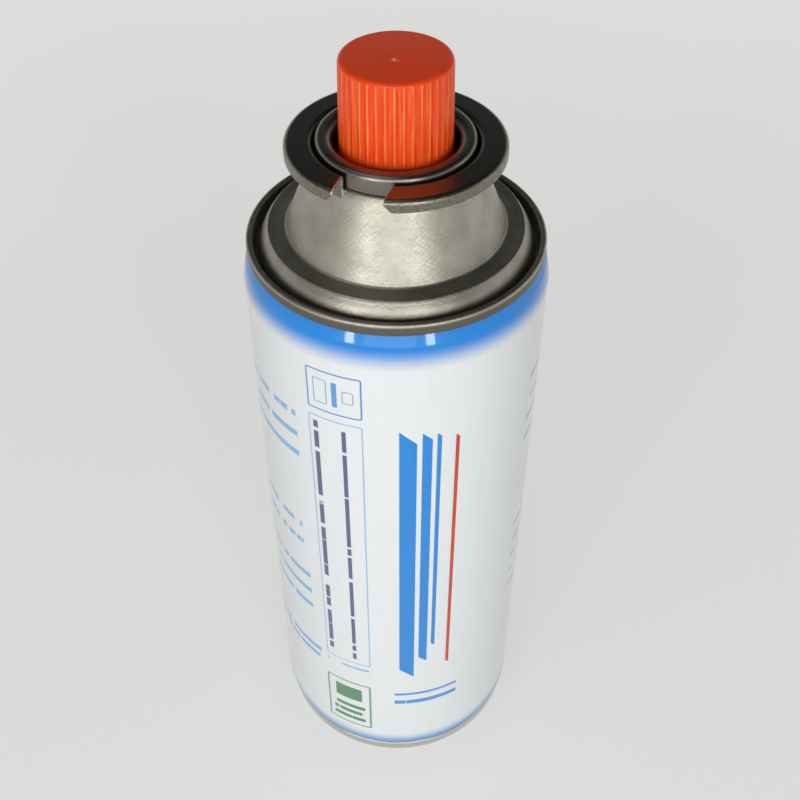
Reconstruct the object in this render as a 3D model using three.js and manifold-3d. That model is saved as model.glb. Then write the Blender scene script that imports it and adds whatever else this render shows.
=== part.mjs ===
// Nozzle type gas canister: a seamed tinplate can with its charge, a notched collar round the
// neck, a crimped one inch valve cup, the spring loaded valve inside it, and a push-on fluted cap.
// Millimetres, +Z up, origin on the resting plane at the can's axis, collar notch towards -Y.

import * as THREE from 'three';
import { mergeVertices } from 'three/addons/utils/BufferGeometryUtils.js';
import Module from 'manifold-3d';

const wasm = await Module();
wasm.setup();

// Can body and its two double seams
const bodyRadius = 32.5;
const canHeight = 159.5;
const seamThickness = 1.4;
const seamHeight = 2.8;
const seamCrown = 0.6;
const topSeamRadius = 31.3;
const baseSeamRadius = 31.7;
const baseSeamHeight = 3.2;
const neckLength = 6.2;
const neckGroove = 0.8;
const baseNeckLength = 2.2;
const basePanelRise = 7.5;
const countersinkDepth = 3.6;

// Dome: bulge, flat step and cone up to the mouth
const bulgeRadius = 28.7;
const stepOuterRadius = 26.4;
const stepInnerRadius = 22.8;
const stepRise = 2.1;
const coneBendRadius = 19.5;
const coneBendRise = 8.2;
const coneTopRadius = 16.3;
const coneTopRise = 16.1;
const coneHollow = 0.35;

// Mouth of the dome, and the vapour space left above the charge
const mouthRadius = 13.1;
const curlRadius = 15.3;
const curlRise = 3.4;
const curlEdge = 0.8;
const mouthUndercut = 0.9;
const mouthDepth = 8.9;
const vapourRadius = 9.6;
const vapourDepth = 35.5;

// Valve cup: sheet metal crimped over the curl
const cupSheet = 0.4;
const cupGap = 0.25;
const cupBeadEdge = 1.1;
const cupSkirtDrop = 4.0;
const wellDepth = 8.4;
const wellCorner = 0.8;
const clinchBulge = 0.5;
const pedestalRadius = 5.3;
const pedestalRise = 2.5;
const pedestalEdge = 0.9;
const gasketThickness = 0.5;

// Collar: an inverted channel of thicker sheet with a locating notch
const collarSheet = 0.7;
const collarGap = 0.45;
const collarOuterRadius = 22.1;
const collarTopRise = 3.4;
const collarRimDrop = 2.55;
const collarBend = 1.0;
const collarFootGap = 0.25;
const notchWidth = 10;
const notchFlare = 1.3;

// Valve: stem, stem gasket, housing, spring and vapour tube
const stemRadius = 2.05;
const stemBore = 0.9;
const stemClearance = 0.3;
const stemHeight = 6.5;
const stemShoulderRadius = 3.5;
const stemShoulder = 1.2;
const stemBoss = 2.3;
const stemBossLength = 2.4;
const orificeRadius = 0.35;
const stemGasketThickness = 1.3;
const housingWall = 0.85;
const springRoom = 11;
const housingFloor = 1;
const housingClearance = 0.15;
const tailRadius = 2.1;
const tailBore = 1;
const tailLength = 5;
const springWire = 0.25;
const springTurns = 6;
const springGap = 0.1;
const springEndPitch = 0.6;
const tubeWall = 0.6;
const tubeClearance = 0.15;
const tubeStraight = 5;
const tubeDrop = 10;
const tubeLean = 5.6;

// Push-on cap with concave flutes
const capHeight = 24.6;
const capBaseRadius = 11.4;
const capTopRadius = 10.95;
const capWall = 1.15;
const capRoof = 1.4;
const capEdge = 0.9;
const capCrown = 0.25;
const fluteCount = 40;
const fluteDepth = 0.3;
const ridgeShare = 0.22;
const fluteStart = 8.8;
const capBoreEdge = 0.8;
const gripRibs = 4;
const gripThickness = 0.9;
const gripLength = 8.5;
const gripClearance = 0.3;

// Facets round each turned piece, and along its small curves
const canSides = 48;
const cupSides = 32;
const valveSides = 24;
const bendSteps = 3;

// Heights that the pieces share, measured up from the resting plane
const stepHeight = canHeight + stepRise;
const coneTopHeight = stepHeight + coneTopRise;
const curlTopHeight = coneTopHeight + curlRise;
const cupTopHeight = curlTopHeight + gasketThickness + cupSheet;
const wellFloorHeight = cupTopHeight - wellDepth;
const pedestalTopHeight = cupTopHeight + pedestalRise;
const stemTopHeight = pedestalTopHeight + stemHeight;
const stemGasketTop = pedestalTopHeight - cupSheet;
const housingTop = stemGasketTop - stemGasketThickness;
const housingBase = housingTop - stemShoulder - springRoom - housingFloor;
const collarTopHeight = coneTopHeight + collarTopRise;
const cupOuterRadius = curlRadius + cupGap + cupSheet;
const collarInnerRadius = cupOuterRadius + collarGap;

// A quarter or other part of a circle in the profile plane, as points from one angle to another
function arc(centreR, centreZ, radius, fromDegrees, toDegrees, steps = bendSteps) {
  const points = [];
  for (let i = 0; i <= steps; i += 1) {
    const angle = THREE.MathUtils.degToRad(fromDegrees + ((toDegrees - fromDegrees) * i) / steps);
    points.push([centreR + radius * Math.cos(angle), centreZ + radius * Math.sin(angle)]);
  }
  return points;
}

// A smooth curve through a few points of the profile plane
function curve(points, steps) {
  const line = new THREE.SplineCurve(points.map(([r, z]) => new THREE.Vector2(r, z)));
  return line.getPoints(steps).map((point) => [point.x, point.y]);
}

// A closed three.js geometry as a solid for cutting and joining
function toSolid(geometry) {
  const bare = geometry.index ? geometry.toNonIndexed() : geometry.clone();
  bare.deleteAttribute('normal');
  bare.deleteAttribute('uv');
  const merged = mergeVertices(bare, 1e-5);
  const mesh = new wasm.Mesh({
    numProp: 3,
    vertProperties: new Float32Array(merged.attributes.position.array),
    triVerts: new Uint32Array(merged.index.array),
  });
  return new wasm.Manifold(mesh);
}

function toGeometry(solid) {
  const mesh = solid.getMesh();
  const geometry = new THREE.BufferGeometry();
  geometry.setAttribute('position', new THREE.BufferAttribute(mesh.vertProperties, 3));
  geometry.setIndex(new THREE.BufferAttribute(mesh.triVerts, 1));
  geometry.computeVertexNormals();
  return geometry;
}

// Turns a profile of [radius, height] points, in order from the bottom outwards and up, about Z
function turned(profile, sides) {
  const points = profile.map(([r, z]) => new THREE.Vector2(Math.max(r, 0), z));
  const geometry = new THREE.LatheGeometry(points, sides);
  geometry.rotateX(Math.PI / 2);
  return toSolid(geometry);
}

// The same for a ring, whose profile closes on itself
function turnedRing(profile, sides) {
  return turned([...profile, profile[0]], sides);
}

function namedMesh(name, solid, color, roughness, metalness) {
  const material = new THREE.MeshStandardMaterial({ color, roughness, metalness });
  const mesh = new THREE.Mesh(toGeometry(solid), material);
  mesh.name = name;
  return mesh;
}

// Height of the dome's cone at a radius, by straight runs between its two bends
function coneHeightAt(radius) {
  const bendHeight = stepHeight + coneBendRise;
  if (radius > coneBendRadius) {
    const share = (stepInnerRadius - radius) / (stepInnerRadius - coneBendRadius);
    return THREE.MathUtils.lerp(stepHeight, bendHeight, share);
  }
  const share = (coneBendRadius - radius) / (coneBendRadius - coneTopRadius);
  return THREE.MathUtils.lerp(bendHeight, coneTopHeight, share);
}

// Underside of the can: a panel that rises inside the base seam
function baseProfile() {
  const seamInner = baseSeamRadius - seamThickness;
  const footRadius = seamThickness / 2;
  return [
    [0, basePanelRise],
    ...curve(
      [
        [seamInner * 0.45, basePanelRise * 0.86],
        [seamInner * 0.8, basePanelRise * 0.45],
        [seamInner - 2 * seamThickness, seamThickness],
      ],
      3,
    ),
    [seamInner - seamThickness, seamThickness * 0.75],
    [seamInner, baseSeamHeight * 0.7],
    [seamInner, seamCrown],
    [seamInner + seamCrown * 0.6, 0],
    [baseSeamRadius - footRadius * 0.6, 0],
    [baseSeamRadius, seamCrown],
    [baseSeamRadius, baseSeamHeight],
    [baseSeamRadius - neckGroove, baseSeamHeight],
  ];
}

// Side wall with its necks, and the top double seam
function wallProfile() {
  const seamBase = canHeight - seamHeight;
  const neckRadius = topSeamRadius - neckGroove;
  const shoulder = seamBase - neckLength;
  return [
    [bodyRadius - 0.25, baseSeamHeight + baseNeckLength * 0.6],
    [bodyRadius, baseSeamHeight + baseNeckLength],
    [bodyRadius, shoulder],
    [bodyRadius - (bodyRadius - neckRadius) * 0.15, shoulder + neckLength * 0.3],
    [bodyRadius - (bodyRadius - neckRadius) * 0.62, shoulder + neckLength * 0.66],
    [neckRadius, seamBase],
    [topSeamRadius, seamBase],
    ...arc(topSeamRadius - seamCrown, canHeight - seamCrown, seamCrown, 0, 90),
    ...arc(topSeamRadius - seamThickness + seamCrown, canHeight - seamCrown, seamCrown, 90, 180, 2),
  ];
}

// Dome from the countersink inside the seam to the top of the cone
function domeProfile() {
  const chuckRadius = topSeamRadius - seamThickness;
  const floor = canHeight - countersinkDepth;
  const bend = [coneBendRadius, stepHeight + coneBendRise];
  return [
    [chuckRadius - 0.1, floor + 0.4],
    [(chuckRadius + bulgeRadius) / 2, floor],
    [bulgeRadius + 0.1, floor + 0.4],
    ...curve(
      [
        [bulgeRadius - 0.15, floor + countersinkDepth * 0.6],
        [bulgeRadius - 0.9, stepHeight - 1.5],
        [stepOuterRadius + 0.5, stepHeight - 0.35],
        [stepOuterRadius - 0.2, stepHeight],
      ],
      5,
    ),
    [stepInnerRadius + 0.3, stepHeight - 0.05],
    ...curve(
      [
        [stepInnerRadius, stepHeight + 0.25],
        [(stepInnerRadius + bend[0]) / 2 - coneHollow, stepHeight + coneBendRise / 2],
        bend,
        [(bend[0] + coneTopRadius) / 2 - coneHollow / 2, (bend[1] + coneTopHeight) / 2],
        [coneTopRadius, coneTopHeight],
      ],
      8,
    ),
  ];
}

// Rolled curl round the mouth, the bore under it, and the space over the charge
function mouthProfile() {
  const bore = mouthRadius + mouthUndercut;
  const ledge = curlTopHeight - mouthDepth;
  return [
    [curlRadius, coneTopHeight],
    ...arc(curlRadius - curlEdge, curlTopHeight - curlEdge, curlEdge, 0, 90),
    ...arc(mouthRadius + curlEdge, curlTopHeight - curlEdge, curlEdge, 90, 180),
    [mouthRadius, coneTopHeight + mouthUndercut],
    [bore, coneTopHeight],
    [bore, ledge],
    [vapourRadius, ledge],
    [vapourRadius, curlTopHeight - vapourDepth],
    [0, curlTopHeight - vapourDepth],
  ];
}

function makeCan() {
  const profile = [...baseProfile(), ...wallProfile(), ...domeProfile(), ...mouthProfile()];
  return namedMesh('can', turned(profile, canSides), 0xe6e9ec, 0.3, 0.2);
}

// Flat ring that seals the cup's bead on the curl
function makeCupGasket() {
  const inner = mouthRadius + curlEdge;
  const outer = curlRadius - curlEdge;
  const ring = [
    [inner, curlTopHeight],
    [outer, curlTopHeight],
    [outer, curlTopHeight + gasketThickness],
    [inner, curlTopHeight + gasketThickness],
  ];
  return namedMesh('cup_gasket', turnedRing(ring, cupSides), 0x26282a, 0.8, 0);
}

// Outside face of the cup, from the skirt over the bead and down the well to the stem hole,
// offset by a distance to give the face on the other side of the sheet
function cupFace(offset) {
  const beadTop = cupTopHeight - offset;
  const skirtRadius = cupOuterRadius - offset;
  const wellRadius = mouthRadius - cupGap - cupSheet + offset;
  const floor = wellFloorHeight - offset;
  const edge = cupBeadEdge - offset;
  const corner = wellCorner + offset;
  const pedestal = pedestalRadius - offset;
  const pedestalTop = pedestalTopHeight - offset;
  const pedestalBend = pedestalEdge - offset;
  const clinch = coneTopHeight - 1.4;
  return [
    [skirtRadius, cupTopHeight - cupSkirtDrop],
    ...arc(skirtRadius - edge, beadTop - edge, edge, 0, 90, 2),
    ...arc(wellRadius + edge, beadTop - edge, edge, 90, 180, 2),
    [wellRadius, clinch + 1.3],
    [wellRadius + clinchBulge, clinch],
    [wellRadius, clinch - 1.3],
    ...arc(wellRadius - corner, floor + corner, corner, 0, -90, 2),
    ...arc(pedestal + corner, floor + corner, corner, 270, 180, 2),
    ...arc(pedestal - pedestalBend, pedestalTop - pedestalBend, pedestalBend, 0, 90, 2),
    [stemRadius + stemClearance, pedestalTop],
  ];
}

function makeValveCup() {
  const ring = [...cupFace(0), ...cupFace(cupSheet).reverse()];
  return namedMesh('valve_cup', turnedRing(ring, cupSides), 0xb9b4a6, 0.35, 0.9);
}

// Section of the collar: foot on the cone, inner skirt, flat top, bend and outer rim
function collarSection() {
  const rimBase = collarTopHeight - collarRimDrop;
  const innerBend = collarBend - collarSheet;
  const outerFace = collarInnerRadius + collarSheet;
  const rimInner = collarOuterRadius - collarSheet;
  return [
    [collarInnerRadius, coneHeightAt(collarInnerRadius) + collarFootGap],
    [outerFace, coneHeightAt(outerFace) + collarFootGap],
    ...arc(outerFace + innerBend, collarTopHeight - collarBend, innerBend, 180, 90, 2),
    ...arc(rimInner - innerBend, collarTopHeight - collarBend, innerBend, 90, 0, 2),
    [rimInner, rimBase],
    [collarOuterRadius, rimBase],
    ...arc(collarOuterRadius - collarBend, collarTopHeight - collarBend, collarBend, 0, 90),
    ...arc(collarInnerRadius + collarBend, collarTopHeight - collarBend, collarBend, 90, 180),
  ];
}

// Cutter that opens the notch straight through skirt, flat and rim, wider at the rim's foot
function notchCutter() {
  const half = notchWidth / 2;
  const above = collarTopHeight + collarSheet;
  const bend = collarTopHeight - collarBend;
  const foot = collarTopHeight - collarRimDrop;
  const below = coneTopHeight - 3 * collarSheet;
  const reach = collarOuterRadius + collarSheet;
  const straight = new THREE.BoxGeometry(notchWidth, reach - collarInnerRadius / 2, above - below);
  straight.translate(0, -(reach + collarInnerRadius / 2) / 2, (above + below) / 2);
  const outline = new THREE.Shape([
    new THREE.Vector2(-half, bend),
    new THREE.Vector2(-half - notchFlare, foot),
    new THREE.Vector2(-half - notchFlare, below),
    new THREE.Vector2(half + notchFlare, below),
    new THREE.Vector2(half + notchFlare, foot),
    new THREE.Vector2(half, bend),
  ]);
  const rimDepth = 3 * collarBend;
  const flare = new THREE.ExtrudeGeometry(outline, { depth: rimDepth, bevelEnabled: false });
  flare.rotateX(Math.PI / 2);
  flare.translate(0, -reach + rimDepth, 0);
  return toSolid(straight).add(toSolid(flare));
}

function makeCollar() {
  const ring = turnedRing(collarSection(), canSides);
  return namedMesh('collar', ring.subtract(notchCutter()), 0x4b4a47, 0.4, 0.9);
}

// Stem: a tube closed at its foot, with a shoulder under the gasket and a boss inside the spring
function makeStem() {
  const shoulderTop = housingTop;
  const shoulderBase = shoulderTop - stemShoulder;
  const boreFloor = stemGasketTop - stemGasketThickness / 2 - 2 * orificeRadius;
  const profile = [
    [0, shoulderBase - stemBossLength],
    [stemBoss - 0.3, shoulderBase - stemBossLength],
    [stemBoss, shoulderBase - stemBossLength + 0.4],
    [stemBoss, shoulderBase],
    [stemShoulderRadius, shoulderBase],
    [stemShoulderRadius, shoulderTop],
    [stemRadius, shoulderTop],
    [stemRadius, stemTopHeight - 0.4],
    [stemRadius - 0.3, stemTopHeight],
    [stemBore, stemTopHeight],
    [stemBore, boreFloor],
    [0, boreFloor],
  ];
  const hole = new THREE.CylinderGeometry(orificeRadius, orificeRadius, 2 * stemRadius, 8);
  hole.translate(0, stemRadius, 0);
  hole.translate(0, 0, stemGasketTop - stemGasketThickness / 2);
  const solid = turned(profile, valveSides).subtract(toSolid(hole));
  return namedMesh('valve_stem', solid, 0xe8e6df, 0.5, 0);
}

function makeStemGasket() {
  const inner = stemRadius + stemClearance;
  const outer = pedestalRadius - pedestalEdge;
  const ring = [
    [inner, housingTop],
    [outer, housingTop],
    [outer, stemGasketTop],
    [inner, stemGasketTop],
  ];
  return namedMesh('stem_gasket', turnedRing(ring, valveSides), 0x222324, 0.8, 0);
}

// Housing: a cup that holds the spring, with a tail for the vapour tube
function makeHousing() {
  const outer = pedestalRadius - cupSheet - housingClearance;
  const inner = outer - housingWall;
  const ring = [
    [tailBore, housingBase - tailLength],
    [tailRadius - 0.3, housingBase - tailLength],
    [tailRadius, housingBase - tailLength + 0.5],
    [tailRadius, housingBase],
    [outer - 0.8, housingBase],
    [outer, housingBase + 0.8],
    [outer, housingTop],
    [inner, housingTop],
    [inner, housingBase + housingFloor],
    [tailBore, housingBase + housingFloor],
  ];
  return namedMesh('valve_housing', turnedRing(ring, valveSides), 0xd9d9d4, 0.5, 0);
}

// Centre line of the return spring: a helix whose first and last turns lie close together
class SpringLine extends THREE.Curve {
  constructor(radius, low, high) {
    super();
    this.radius = radius;
    this.low = low;
    this.high = high;
  }

  heightAt(turn) {
    const { low, high } = this;
    if (turn < 1) {
      return low + springEndPitch * turn;
    }
    if (turn > springTurns - 1) {
      return high - springEndPitch * (springTurns - turn);
    }
    const share = (turn - 1) / (springTurns - 2);
    return THREE.MathUtils.lerp(low + springEndPitch, high - springEndPitch, share);
  }

  getPoint(t, target = new THREE.Vector3()) {
    const turn = t * springTurns;
    const angle = turn * 2 * Math.PI;
    const x = this.radius * Math.cos(angle);
    const y = this.radius * Math.sin(angle);
    return target.set(x, y, this.heightAt(turn));
  }
}

function circleShape(radius, sides) {
  const points = [];
  for (let i = 0; i < sides; i += 1) {
    const angle = (i / sides) * 2 * Math.PI;
    points.push(new THREE.Vector2(radius * Math.cos(angle), radius * Math.sin(angle)));
  }
  return new THREE.Shape(points);
}

function makeSpring() {
  const radius = (stemBoss + stemShoulderRadius) / 2;
  const low = housingBase + housingFloor + springWire + springGap;
  const high = housingTop - stemShoulder - springWire - springGap;
  const line = new SpringLine(radius, low, high);
  const wire = new THREE.ExtrudeGeometry(circleShape(springWire, 6), {
    extrudePath: line,
    steps: springTurns * 12,
    bevelEnabled: false,
  });
  return namedMesh('stem_spring', toSolid(wire), 0xb8bcc0, 0.3, 1);
}

// Vapour tube: pushed on the housing's tail, it leans towards the notch, so that its open end
// stays above the liquid when the can lies with the notch up
function makeVapourTube() {
  const inner = tailRadius + tubeClearance;
  const top = housingBase - tubeClearance;
  const section = circleShape(inner + tubeWall, 12);
  section.holes.push(new THREE.Path(circleShape(inner, 12).getPoints().reverse()));
  const bendStart = top - tubeStraight;
  const route = new THREE.CatmullRomCurve3([
    new THREE.Vector3(0, 0, top),
    new THREE.Vector3(0, 0, top - tubeStraight / 2),
    new THREE.Vector3(0, 0, bendStart),
    new THREE.Vector3(0, -tubeLean * 0.35, bendStart - tubeDrop * 0.45),
    new THREE.Vector3(0, -tubeLean, bendStart - tubeDrop),
  ]);
  const tube = new THREE.ExtrudeGeometry(section, {
    extrudePath: route,
    steps: 12,
    bevelEnabled: false,
  });
  return namedMesh('vapour_tube', toSolid(tube), 0xcfd6d8, 0.4, 0);
}

// Outline of the flutes at a radius: narrow ridges with a shallow hollow between each pair
function fluteOutline(radius) {
  const pitch = (2 * Math.PI) / fluteCount;
  const ridge = pitch * ridgeShare;
  const hollowShares = [0, 0.25, 0.5, 0.75, 1];
  const points = [];
  for (let i = 0; i < fluteCount; i += 1) {
    for (const share of hollowShares) {
      const angle = i * pitch + ridge / 2 + (pitch - ridge) * share;
      const depth = fluteDepth * 4 * share * (1 - share);
      const r = radius - depth;
      points.push(new THREE.Vector2(r * Math.sin(angle), -r * Math.cos(angle)));
    }
  }
  return points;
}

// Wall radius of the cap at a height above its foot
function capRadiusAt(height) {
  return THREE.MathUtils.lerp(capBaseRadius, capTopRadius, height / capHeight);
}

// Fluted plug: the flute outline carried up the cap's height and drawn in by its draft
function flutedPlug(base, top) {
  const outline = new THREE.Shape(fluteOutline(capRadiusAt(base)));
  const plug = new THREE.ExtrudeGeometry(outline, { depth: top - base, bevelEnabled: false });
  const draft = capRadiusAt(top) / capRadiusAt(base);
  const position = plug.attributes.position;
  for (let i = 0; i < position.count; i += 1) {
    const scale = position.getZ(i) > 0 ? draft : 1;
    position.setXY(i, position.getX(i) * scale, position.getY(i) * scale);
  }
  plug.translate(0, 0, base);
  return toSolid(plug);
}

// Outside of the cap: a plain band at the foot, and the flutes above it under a rounded edge
function capOutside() {
  const sides = 2 * cupSides;
  const overlap = 0.5;
  const plain = turned(
    [
      [0, 0],
      [capBaseRadius, 0],
      [capRadiusAt(fluteStart), fluteStart],
      [0, fluteStart],
    ],
    sides,
  );
  const envelope = turned(
    [
      [0, fluteStart - overlap],
      [capRadiusAt(fluteStart - overlap), fluteStart - overlap],
      ...arc(capTopRadius - capEdge, capHeight - capEdge - capCrown, capEdge, 2, 80),
      [0, capHeight],
    ],
    sides,
  );
  const fluted = flutedPlug(fluteStart - overlap, capHeight + overlap).intersect(envelope);
  return plain.add(fluted);
}

// Inside of the cap, open at the foot
function capBore() {
  const top = capHeight - capRoof;
  const boreTop = capTopRadius - capWall;
  return turned(
    [
      [0, -capRoof],
      [capBaseRadius - capWall, -capRoof],
      ...arc(boreTop - capBoreEdge, top - capBoreEdge, capBoreEdge, 0, 90, 2),
      [0, top],
    ],
    cupSides,
  );
}

// Short ribs inside the cap that grip the cup's pedestal, set between the four quarters
function gripRib(index) {
  const inner = pedestalRadius + gripClearance;
  const reach = capBaseRadius - capWall / 2 - inner;
  const rib = new THREE.BoxGeometry(reach, gripThickness, gripLength);
  rib.translate(inner + reach / 2, 0, gripLength / 2 + gripClearance + wellCorner);
  rib.rotateZ(((index + 0.5) / gripRibs) * 2 * Math.PI);
  return toSolid(rib);
}

function makeCap() {
  let solid = capOutside().subtract(capBore());
  for (let i = 0; i < gripRibs; i += 1) {
    solid = solid.add(gripRib(i));
  }
  return namedMesh('cap', solid.translate(0, 0, wellFloorHeight), 0xe04a22, 0.4, 0);
}

const group = new THREE.Group();
group.name = 'fuel_canister';
group.add(makeCan());
group.add(makeCupGasket());
group.add(makeValveCup());
group.add(makeCollar());
group.add(makeStem());
group.add(makeStemGasket());
group.add(makeHousing());
group.add(makeSpring());
group.add(makeVapourTube());
group.add(makeCap());

export default group;
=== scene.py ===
import math

import bmesh
import bpy
import numpy as np
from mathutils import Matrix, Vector


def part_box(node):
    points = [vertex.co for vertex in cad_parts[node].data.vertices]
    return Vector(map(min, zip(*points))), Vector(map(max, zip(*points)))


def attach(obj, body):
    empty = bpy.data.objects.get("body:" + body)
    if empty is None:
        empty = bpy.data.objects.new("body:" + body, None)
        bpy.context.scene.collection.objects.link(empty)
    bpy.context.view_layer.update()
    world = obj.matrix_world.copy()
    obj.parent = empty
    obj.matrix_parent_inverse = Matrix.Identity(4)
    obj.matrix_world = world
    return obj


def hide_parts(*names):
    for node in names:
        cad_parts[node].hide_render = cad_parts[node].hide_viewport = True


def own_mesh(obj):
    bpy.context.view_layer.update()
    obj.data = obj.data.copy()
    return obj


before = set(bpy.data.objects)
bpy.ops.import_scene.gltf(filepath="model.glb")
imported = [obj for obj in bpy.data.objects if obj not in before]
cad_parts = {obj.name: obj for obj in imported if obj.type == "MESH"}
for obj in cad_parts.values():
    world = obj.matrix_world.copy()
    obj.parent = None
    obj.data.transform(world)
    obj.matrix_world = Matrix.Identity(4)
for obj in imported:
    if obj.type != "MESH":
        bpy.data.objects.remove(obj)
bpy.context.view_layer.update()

mm = 0.001  # the tables and profiles below are in millimetres, the meshes in metres

for old in [o for o in bpy.data.objects if o.type in {"CAMERA", "LIGHT"}]:
    bpy.data.objects.remove(old)


def height(node, top=True):
    # lowest or highest point of a model node, in millimetres
    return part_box(node)[1 if top else 0][2] / mm


print("frame loaded:", len(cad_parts), "nodes")


# Camera, at the place that the circles of the can give in the photograph

view = {"place": (0.063698, -0.180028, 0.296164), "look": (-0.23582, 0.67499, -0.69913), "focal": 1114.5,
        "frame": 800, "sensor": 36.0}
camera = bpy.data.cameras.new("camera")
camera.sensor_width = view["sensor"]
camera.lens = view["focal"] / view["frame"] * view["sensor"]
camera.clip_start = 0.01
cameraObject = bpy.data.objects.new("camera", camera)
cameraObject.location = view["place"]
cameraObject.rotation_euler = Vector(view["look"]).to_track_quat("-Z", "Y").to_euler()
bpy.context.scene.collection.objects.link(cameraObject)
bpy.context.scene.camera = cameraObject
print("camera set")


def linear(hexColor):
    # sRGB hex to a linear RGBA colour
    channels = [int(hexColor[i:i + 2], 16) / 255 for i in (1, 3, 5)]
    return tuple(c / 12.92 if c <= 0.04045 else ((c + 0.055) / 1.055) ** 2.4 for c in channels) + (1.0,)


def addNode(tree, kind, settings=None, links=None):
    # one node: settings by attribute or input name, links by input name
    node = tree.nodes.new(kind)
    for key, value in (settings or {}).items():
        if isinstance(key, str) and key.islower() and hasattr(node, key):
            setattr(node, key, value)
        else:
            node.inputs[key].default_value = value
    for key, source in (links or {}).items():
        tree.links.new(source, node.inputs[key])
    return node


def ramp(tree, source, low, high):
    # 0 to 1 while the source goes from low to high, and level outside
    return addNode(tree, "ShaderNodeMapRange", {"From Min": low, "From Max": high}, {"Value": source})


def newMaterial(name):
    # an empty tree with its Principled shader, and the object coordinates in millimetres
    material = bpy.data.materials.new(name)
    material.use_nodes = True
    tree = material.node_tree
    tree.nodes.clear()
    output = addNode(tree, "ShaderNodeOutputMaterial")
    shader = addNode(tree, "ShaderNodeBsdfPrincipled")
    tree.links.new(shader.outputs["BSDF"], output.inputs["Surface"])
    place = addNode(tree, "ShaderNodeTexCoord")
    scaled = addNode(tree, "ShaderNodeVectorMath", {"operation": "SCALE", "Scale": 1 / mm},
                     {0: place.outputs["Object"]})
    return material, tree, shader, scaled.outputs["Vector"]


def unroll(tree, place, radius):
    # turned surface laid flat: x is the arc length from the notch side, y the distance from the axis,
    # z the height
    parts = addNode(tree, "ShaderNodeSeparateXYZ", {}, {0: place})
    front = addNode(tree, "ShaderNodeMath", {"operation": "MULTIPLY", 1: -1.0}, {0: parts.outputs["Y"]})
    angle = addNode(tree, "ShaderNodeMath", {"operation": "ARCTAN2"}, {0: parts.outputs["X"], 1: front.outputs[0]})
    arc = addNode(tree, "ShaderNodeMath", {"operation": "MULTIPLY", 1: radius}, {0: angle.outputs[0]})
    level = addNode(tree, "ShaderNodeVectorMath", {"operation": "MULTIPLY", 1: (1, 1, 0)}, {0: place})
    away = addNode(tree, "ShaderNodeVectorMath", {"operation": "LENGTH"}, {0: level.outputs["Vector"]})
    flat = addNode(tree, "ShaderNodeCombineXYZ", {}, {"X": arc.outputs[0], "Y": away.outputs["Value"],
                                                      "Z": parts.outputs["Z"]})
    return flat.outputs[0], arc.outputs[0], away.outputs["Value"], parts.outputs["Z"]


# Surfaces

def filleted(corners, steps=6, gap=1.2):
    # profile through corners (r, z, fillet): a corner becomes the arc tangent to both its sides, and
    # the straights get close points at their ends, which keeps smooth shading on the arcs
    corners = [(c[0], c[1], c[2] if len(c) > 2 else 0.0) for c in corners]
    points = []
    for i, (r, z, fillet) in enumerate(corners):
        here = np.array([r, z])
        if i in (0, len(corners) - 1) or fillet == 0:
            points.append(here)
            continue
        before = np.array(corners[i - 1][:2]) - here
        after = np.array(corners[i + 1][:2]) - here
        toBefore, toAfter = before / np.linalg.norm(before), after / np.linalg.norm(after)
        half = math.acos(np.clip(toBefore @ toAfter, -1, 1)) / 2
        reach = min(fillet / math.tan(half), 0.49 * np.linalg.norm(before), 0.49 * np.linalg.norm(after))
        centre = here + (toBefore + toAfter) / np.linalg.norm(toBefore + toAfter) * reach / math.cos(half)
        start, end = here + toBefore * reach - centre, here + toAfter * reach - centre
        turn = math.atan2(start[0] * end[1] - start[1] * end[0], start @ end)
        a = turn * np.linspace(0, 1, steps + 1)
        points += list(centre + np.stack([start[0] * np.cos(a) - start[1] * np.sin(a),
                                          start[0] * np.sin(a) + start[1] * np.cos(a)], 1))
    points = np.array(points)
    dense = [points[:1]]
    for a, b in zip(points[:-1], points[1:]):
        length = np.linalg.norm(b - a)
        if length > 2 * gap:
            shares = np.concatenate([[0.12 * gap / length], np.arange(gap, length - gap * 0.4, gap) / length,
                                     [1 - 0.12 * gap / length]])
            dense.append(a + shares[:, None] * (b - a))
        dense.append(b[None])
    return np.concatenate(dense)


def smoothLine(points, steps):
    # a spline through the points, sampled at steps + 1 places
    points = np.array(points, float)
    padded = np.vstack([2 * points[0] - points[1], points, 2 * points[-1] - points[-2]])
    t = np.linspace(0, len(points) - 1, steps + 1)
    i = np.minimum(t.astype(int), len(points) - 2)
    u = (t - i)[:, None]
    p0, p1, p2, p3 = padded[i], padded[i + 1], padded[i + 2], padded[i + 3]
    return 0.5 * (2 * p1 + (p2 - p0) * u + (2 * p0 - 5 * p1 + 4 * p2 - p3) * u ** 2
                  + (3 * p1 - p0 - 3 * p2 + p3) * u ** 3)


def sheetBehind(points, thickness):
    # the other face of a sheet: every point moved across the profile, to its left, in reverse order
    along = np.gradient(points, axis=0)
    along /= np.linalg.norm(along, axis=1)[:, None]
    return (points - thickness * np.stack([along[:, 1], -along[:, 0]], axis=1))[::-1]


def turnedRows(profile, sides):
    # profile (r, z) carried round the axis: rows follow the profile, columns the angle
    angle = np.linspace(0, 2 * math.pi, sides, endpoint=False)
    r, z = profile[:, :1], profile[:, 1:]
    return np.stack([r * np.sin(angle), -r * np.cos(angle), z + 0 * angle], -1)


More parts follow.
